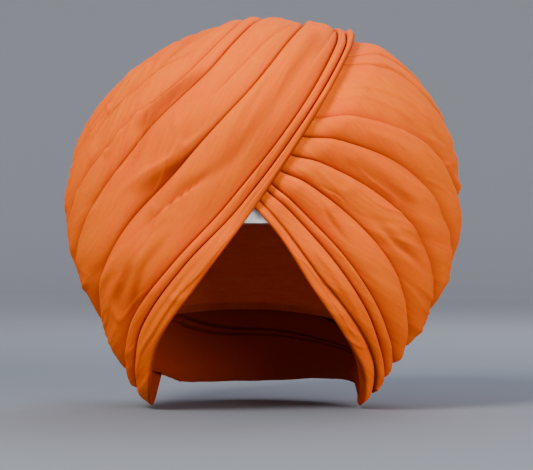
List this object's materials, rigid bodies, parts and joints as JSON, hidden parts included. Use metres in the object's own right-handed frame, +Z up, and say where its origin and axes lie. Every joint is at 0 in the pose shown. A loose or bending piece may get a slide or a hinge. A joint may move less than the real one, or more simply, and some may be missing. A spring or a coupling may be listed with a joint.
{
  "type": "tied turban",
  "caption": "Tied turban: one orange cotton length wound in padded folds that cross over the brow, with a white band under it and an open hollow for the head.",
  "frame": {"origin": "middle of the head hollow's mouth, level with the two lower tips at the temples", "axes": "-Y towards the face, +X towards the fanned wraps, which is the viewer's right from the front, +Z up through the crown"},
  "size_m": [0.2779, 0.266, 0.2727],
  "materials": {
    "orange_cotton": "matt plain weave with slight slubs",
    "orange_cotton_inside": "matt plain weave",
    "white_cotton": "matt plain weave"
  },
  "bodies": {
    "root": {"under_band": "white_cotton", "inner_turns": "orange_cotton_inside", "left_border_wrap": "orange_cotton", "left_pleat_wrap": "orange_cotton", "left_wrap_1": "orange_cotton", "left_wrap_2": "orange_cotton", "left_wrap_3": "orange_cotton", "left_wrap_4": "orange_cotton", "left_crown_cap": "orange_cotton", "right_edge_wrap": "orange_cotton", "right_wrap_1": "orange_cotton", "right_wrap_2": "orange_cotton", "right_wrap_3": "orange_cotton", "right_wrap_4": "orange_cotton", "right_wrap_5": "orange_cotton", "right_wrap_6": "orange_cotton", "right_crown_wrap": "orange_cotton"}
  },
  "joints": []
}
